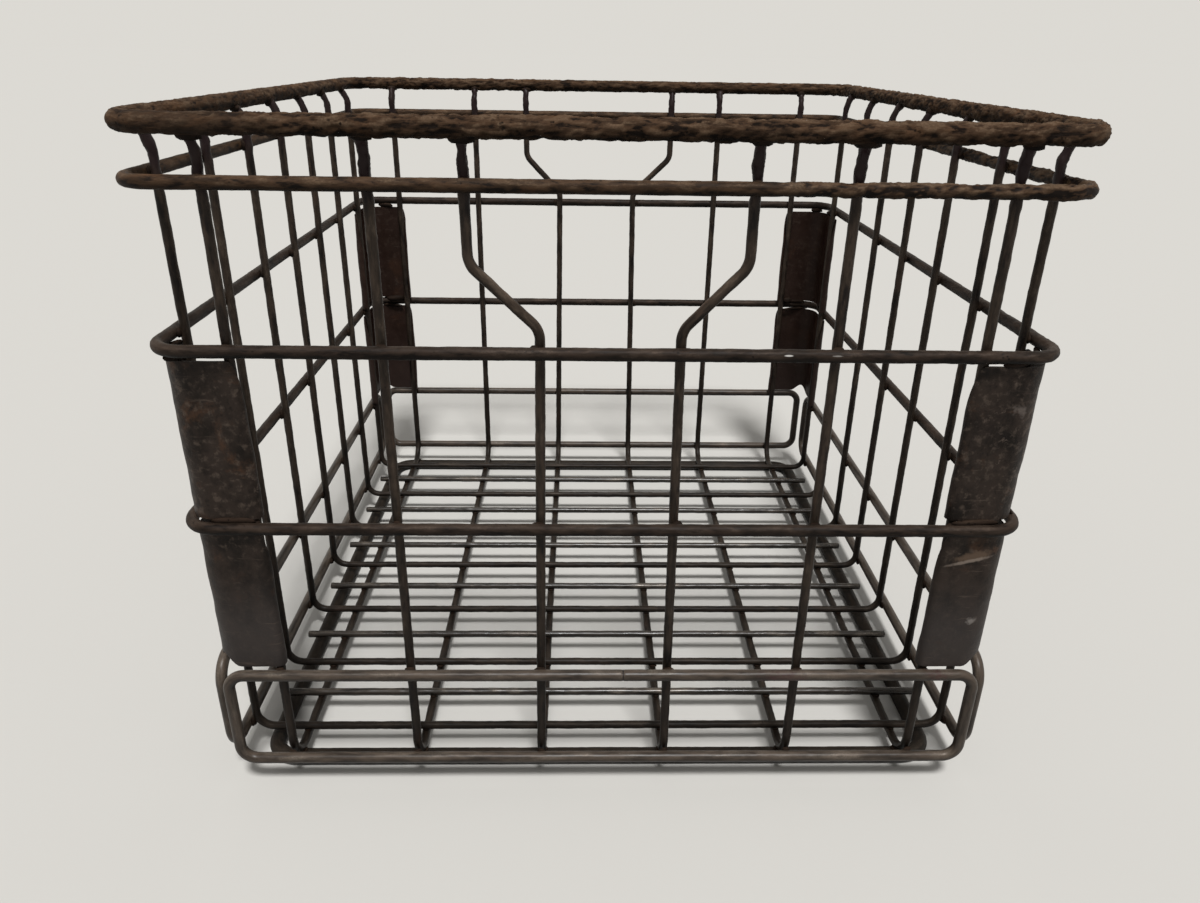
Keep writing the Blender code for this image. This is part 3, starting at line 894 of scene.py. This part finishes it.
for wall in ("front", "rear"):
    for level, relief in (("lower", plateShape["relief"]), ("upper", 0)):
        sheet = foldSheet(wall + "Sheet", plateShape[wall + "Inset"], relief)
        for side in ("left", "right"):
            platePiece(sheet, wall, side, level)
        throwAway(sheet)
print("corner plates folded and rolled round their wires")


# Welds: one lump is knocked about on the bench and copied to every joint

weldSizes = {"rim": (0.0028, 0.0024, 0.0020), "front": (0.0044, 0.0030, 0.0026),
             "band": (0.0026, 0.0013, 0.0024), "skirt": (0.0024, 0.0012, 0.0022),
             "floor": (0.0019, 0.0019, 0.0010), "nest": (0.0024, 0.0022, 0.0014)}
weldHeights = {"nest": 0.0070, "floor": 0.0101}
# how the lump is knocked about and flattened at its foot, and how its copies are turned and swollen
lumpShape = {"dents": 0.16, "seed": 3, "foot": -0.55, "flatten": (1.15, 1.15, 0.6),
             "turn": 0.3, "turnStep": 2.4, "swell": 0.18, "swellStep": 1.7}


def weldLump():
    letGo()
    bpy.ops.mesh.primitive_ico_sphere_add(subdivisions=2, radius=1)
    lump = bpy.context.object
    edit(lump)
    takeAll()
    bpy.ops.transform.vertex_random(offset=lumpShape["dents"], seed=lumpShape["seed"])
    pick(lump, "VERT", lambda vert: vert.co.z < lumpShape["foot"])
    bpy.ops.transform.resize(value=lumpShape["flatten"])
    done()
    return lump


# each spot is a place, a size and a turn round Z
def weldOn(name, spots):
    lump = weldLump()
    beads = []
    for number, (place, size, turn) in enumerate(spots):
        bead = copyOf(lump, name)
        bead.location = place
        bead.rotation_euler = (0, 0, turn + lumpShape["turn"] * math.sin(number * lumpShape["turnStep"]))
        bead.scale = [reach * (1 + lumpShape["swell"] * math.sin(number * lumpShape["swellStep"] + axis))
                      for axis, reach in enumerate(size)]
        beads.append(bead)
    throwAway(lump)
    letGo()
    for bead in beads:
        bead.select_set(True)
    bpy.context.view_layer.objects.active = beads[0]
    settle()
    bpy.ops.object.join()
    joined = bpy.context.object
    joined.name = joined.data.name = name
    edit(joined)
    takeAll()
    bpy.ops.mesh.normals_make_consistent(inside=False)
    done()
    hang(joined, steels["weld"], "band_steel")


# where the wires cross: (place along the wall, wall look, turned to the side walls or not)
wallRuns = [(place, longLook, False) for place in longPlaces]
wallRuns += [(place, crossLook, True) for place in crossPlaces]


# both joints of a wire at one height, with how far out they are; front joints may be heavier
def jointPair(along, turned, out, height, size, front=None, rack=0):
    for side in (-1, 1):
        spot = (side * out, along, height) if turned else (along + side * rack, side * out, height)
        heavy = front if front and side < 0 and not turned else size
        yield spot, heavy, math.pi / 2 if turned else 0


def nextTo(look, along):
    jogged = look is longLook and abs(along) < look["pitch"]
    return math.copysign(look["opening"], along) if jogged else 0


rimSpots, bandSpots, skirtSpots, floorSpots = [], [], [], []
for along, look, turned in wallRuns:
    lean = rimLook["wire"] / 2
    outside = look["wall"] + look["wire"] / 2
    aside = nextTo(look, along)
    rack = longLook["rack"] if aside else 0
    rimSpots += jointPair(along + aside, turned, look["rimLine"] - lean * math.sin(flare["angle"]),
                          rimLook["height"] - lean * math.cos(flare["angle"]),
                          weldSizes["rim"], weldSizes["front"], rack)
    for level, height in bandHeights.items():
        stepped = level == "upper"
        bandSpots += jointPair(along + (aside if stepped else 0), turned, outside, height,
                               weldSizes["band"], rack=rack if stepped else 0)
    for height in (skirtLook["top"], skirtLook["foot"]):
        skirtSpots += jointPair(along, turned, outside, height, weldSizes["skirt"])
    if not turned:
        floorSpots += jointPair(along, turned, nestLook["halfDepth"], weldHeights["nest"], weldSizes["nest"])
        for half in range(2 * len(crossPlaces) - 1):
            row = crossLook["first"] + half * crossLook["pitch"] / 2
            floorSpots.append(((along, row, weldHeights["floor"]), weldSizes["floor"], 0))
weldOn("rimWelds", rimSpots)
weldOn("bandWelds", bandSpots)
weldOn("skirtWelds", skirtSpots)
weldOn("floorWelds", floorSpots)

# long beads in the gap between each plate and the bands, with how far they are from corner and band; two
# lumps where the rear upper plates were welded from inside; and thin beads over the rear lower plates
beadShape = {"foot": (0.0088, 0.0012, 0.0015), "head": (0.0062, 0.0012, 0.0014),
             "short": (0.0038, 0.0013, 0.0014), "thin": (0.0090, 0.0014, 0.0011),
             "inward": 0.0016, "footRise": 0.0028, "headDrop": 0.0030, "footX": 0.0175, "footY": 0.0165,
             "headX": 0.0145, "headY": 0.0150, "shortX": 0.0060, "shortY": 0.0008, "shortTurn": 0.2,
             "thinX": 0.1470, "thinY": 0.1655, "thinHeight": 0.1266,
             "lumps": (((-0.1440, 0.1640, 0.1322), (0.0058, 0.0024, 0.0026), 0.05),
                       ((0.1402, 0.1640, 0.1330), (0.0038, 0.0024, 0.0024), -0.1))}


def plateBeads(shape):
    x, y = bandLook["halfWidth"] - shape["inward"], bandLook["halfDepth"] - shape["inward"]
    foot = bandHeights["lower"] + shape["footRise"]
    head = bandHeights["middle"] - shape["headDrop"]
    for sideX in (-1, 1):
        for sideY in (-1, 1):
            yield (sideX * (x - shape["footX"]), sideY * y, foot), shape["foot"], 0
            yield (sideX * x, sideY * (y - shape["footY"]), foot), shape["foot"], math.pi / 2
            yield (sideX * x, sideY * (y - shape["headY"]), head), shape["head"], math.pi / 2
            if sideX == sideY:              # two of the heads were only tacked beside the bend
                tack = (sideX * (x - shape["shortX"]), sideY * (y - shape["shortY"]), head)
                yield tack, shape["short"], shape["shortTurn"]
            else:
                yield (sideX * (x - shape["headX"]), sideY * y, head), shape["head"], 0
    yield from shape["lumps"]
    for side in (-1, 1):
        yield (side * shape["thinX"], shape["thinY"], shape["thinHeight"]), shape["thin"], 0


weldOn("plateWelds", plateBeads(beadShape))
print("welds laid")


# Floor, light and camera

groundLook = {"size": 80, "colour": rgb(0.66, 0.645, 0.61), "rough": 0.9, "shine": 0.0}
letGo()
bpy.ops.mesh.primitive_plane_add(size=groundLook["size"], location=(0, 0, 0))
ground = bpy.context.object
ground.name = "ground"
paint = bpy.data.materials.new("groundPaint")
paint.use_nodes = True
matte = paint.node_tree.nodes["Principled BSDF"].inputs
matte["Base Color"].default_value = groundLook["colour"]
matte["Roughness"].default_value = groundLook["rough"]
matte["Specular IOR Level"].default_value = groundLook["shine"]
ground.data.materials.append(paint)

light = {"sun": 2.75, "sunAngle": math.radians(11), "sunTilt": (math.radians(27), math.radians(4), 0),
         "sky": 0.31, "skyColour": rgb(1.0, 0.985, 0.96), "background": rgb(0.717, 0.698, 0.655)}
bpy.ops.object.light_add(type="SUN", location=(0, 0, 2), rotation=light["sunTilt"])
sun = bpy.context.object
sun.data.energy = light["sun"]
sun.data.angle = light["sunAngle"]
world = bpy.data.worlds.new("studio")
bpy.context.scene.world = world
world.use_nodes = True
tree = world.node_tree
fill = tree.nodes["Background"]
fill.inputs["Color"].default_value = light["skyColour"]
fill.inputs["Strength"].default_value = light["sky"]
shown = addNode(tree, "Background", {"Color": light["background"], "Strength": 1.0})
rays = addNode(tree, "LightPath").outputs
seen = maths(tree, "MAXIMUM", rays["Is Camera Ray"], rays["Is Glossy Ray"])
seen = maths(tree, "MAXIMUM", seen, rays["Is Transmission Ray"])
blend = addNode(tree, "MixShader", {0: seen, 1: fill.outputs[0], 2: shown.outputs[0]})
tree.links.new(blend.outputs[0], tree.nodes["World Output"].inputs["Surface"])

lens = {"place": (-0.01119, -0.46658, 0.29887), "focal": 26.54, "sensor": 36,
        "turns": ((-1.506, "Z"), (65.46, "X"), (0.907, "Z"))}
yaw, pitch, roll = (Matrix.Rotation(math.radians(turn), 3, axis) for turn, axis in lens["turns"])
bpy.ops.object.camera_add(location=lens["place"], rotation=(yaw @ pitch @ roll).to_euler())
camera = bpy.context.object
camera.data.sensor_width = lens["sensor"]
camera.data.lens = lens["focal"]
camera.data.clip_start = 0.01
bpy.context.scene.camera = camera
bpy.context.scene.view_settings.view_transform = "Standard"
print("ground, light and camera set")
